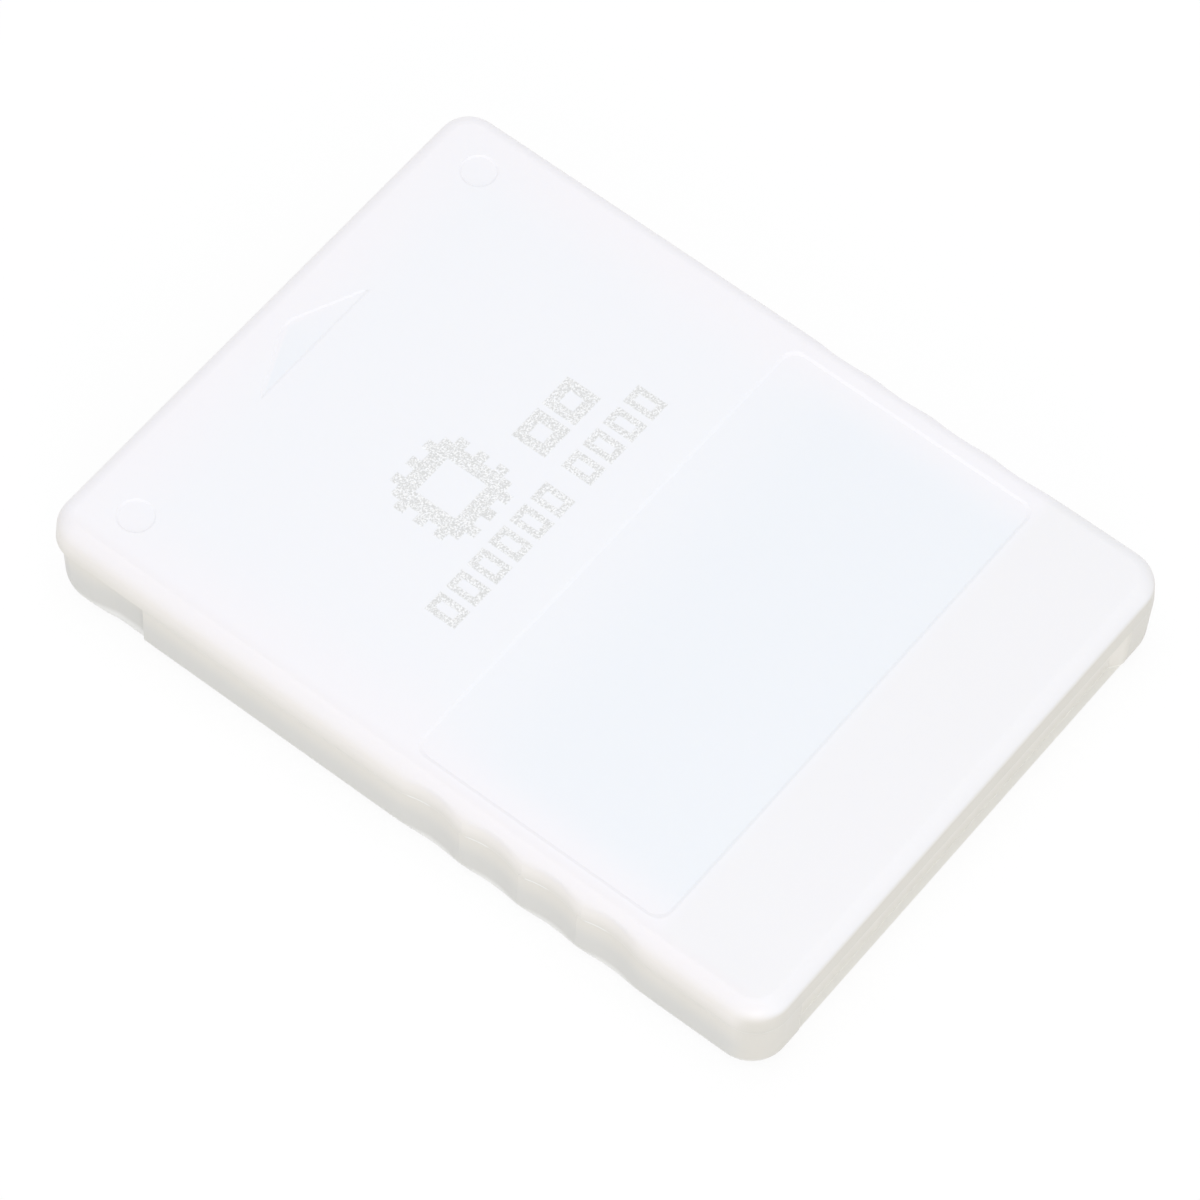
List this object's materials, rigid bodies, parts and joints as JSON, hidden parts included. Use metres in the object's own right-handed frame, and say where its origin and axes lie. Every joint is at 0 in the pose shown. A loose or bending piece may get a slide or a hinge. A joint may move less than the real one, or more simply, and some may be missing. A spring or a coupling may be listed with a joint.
{
  "type": "memory card",
  "caption": "Flat moulded memory card with rounded edges, a contact mouth under one end, finger scallops on both long sides and a shallow label recess.",
  "frame": {"origin": "middle of the underside, on the flat back face", "axes": "+Y towards the connector end, +X to the right of it seen from the label side, +Z out of the label side"},
  "size_m": [0.041, 0.0556, 0.0068],
  "materials": {
    "housing_top": "satin milky white",
    "housing_bottom": "satin milky white",
    "board": "semi-gloss",
    "gold": "plated",
    "chip_black": "matt",
    "lead_metal": "tinned",
    "ceramic": "matt",
    "ceramic_tan": "matt",
    "tantalum": "matt"
  },
  "bodies": {
    "root": {"top_cover": "housing_top", "bottom_cover": "housing_bottom", "circuit_board": "board", "contact_pads": "gold", "flash_chip": "chip_black", "flash_chip_leads": "lead_metal", "controller_chip": "chip_black", "controller_chip_leads": "lead_metal", "crystal_base": "ceramic", "crystal_lid": "lead_metal", "regulator": "chip_black", "regulator_leads": "lead_metal", "voltage_detector": "chip_black", "voltage_detector_leads": "lead_metal", "tantalum_capacitor": "tantalum", "tantalum_terminals": "lead_metal", "diode": "chip_black", "diode_terminals": "lead_metal", "ceramic_capacitors": "ceramic_tan", "capacitor_ends": "lead_metal", "resistors": "chip_black", "resistor_ends": "lead_metal", "resistor_network": "chip_black", "network_ends": "lead_metal"}
  },
  "joints": []
}
